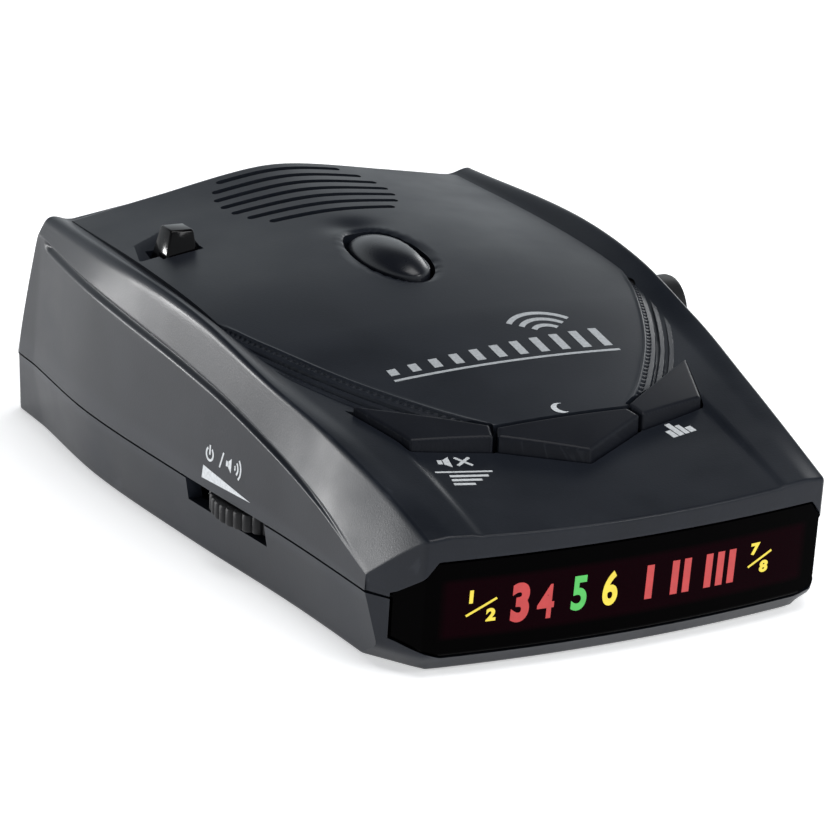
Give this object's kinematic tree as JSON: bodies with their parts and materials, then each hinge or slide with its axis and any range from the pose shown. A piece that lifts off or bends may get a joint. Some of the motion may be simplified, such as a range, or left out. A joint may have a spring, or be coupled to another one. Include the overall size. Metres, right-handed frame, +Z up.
{
  "type": "radar detector",
  "caption": "Two-shell dashboard radar detector with a wide front display window, key band, thumb wheel, bracket slot and release button.",
  "frame": {"origin": "centre of the bounding box, on the surface that the detector stands on", "axes": "+Z up, +Y from the display end to the windscreen end, +X to the driver's right"},
  "size_m": [0.0742, 0.1178, 0.0353],
  "materials": {
    "case_plastic": "fine satin grain",
    "key_plastic": "fine satin grain",
    "black_plastic": "matt",
    "smoked_window": "polished, dark red-black",
    "wheel_plastic": "knurled edge",
    "circuit_board": "green solder mask",
    "tinned_steel": "tin plated",
    "spring_steel": "zinc plated",
    "cast_zinc": "as cast, light grey",
    "speaker_paper": "coated paper cone",
    "foam_rubber": "matt"
  },
  "bodies": {
    "case": {"top_cover": "case_plastic", "bottom_case": "case_plastic", "display_lens": "smoked_window", "display_mask": "black_plastic", "display_board": "circuit_board", "quiet_switch": "black_plastic", "dark_switch": "black_plastic", "city_switch": "black_plastic", "button_board": "circuit_board", "main_board": "circuit_board", "shield_can": "tinned_steel", "volume_pot": "black_plastic", "bracket_sleeve": "case_plastic", "release_spring": "spring_steel", "speaker": "speaker_paper", "speaker_gasket": "foam_rubber", "radar_horn": "cast_zinc", "mixer_board": "circuit_board", "rear_window": "smoked_window", "front_laser_lens": "smoked_window", "rear_laser_lens": "smoked_window", "laser_board": "circuit_board", "laser_sensor": "black_plastic", "power_jack": "black_plastic", "case_screw_1": "spring_steel", "case_screw_2": "spring_steel", "case_screw_3": "spring_steel", "case_screw_4": "spring_steel"},
    "quiet_key": {"quiet_button": "key_plastic"},
    "dark_key": {"dark_button": "key_plastic"},
    "city_key": {"city_button": "key_plastic"},
    "volume": {"volume_wheel": "wheel_plastic"},
    "release": {"release_button": "key_plastic", "release_latch": "key_plastic"}
  },
  "joints": [
    {"name": "quiet_press", "type": "slide", "parent": "case", "child": "quiet_key", "axis": [0, 0, -1], "range_m": [0, 0.0007], "stiffness_N_per_m": 400},
    {"name": "dark_press", "type": "slide", "parent": "case", "child": "dark_key", "axis": [0, 0, -1], "range_m": [0, 0.0007], "stiffness_N_per_m": 400},
    {"name": "city_press", "type": "slide", "parent": "case", "child": "city_key", "axis": [0, 0, -1], "range_m": [0, 0.0007], "stiffness_N_per_m": 400},
    {"name": "volume_turn", "type": "hinge", "parent": "case", "child": "volume", "pos_m": [-0.0242, -0.0125, 0.0081], "axis": [0, 0, 1], "range_deg": [0, 270]},
    {"name": "release_press", "type": "slide", "parent": "case", "child": "release", "axis": [0, 0, -1], "range_m": [0, 0.0015], "stiffness_N_per_m": 600, "deforming": ["release_spring"]}
  ]
}
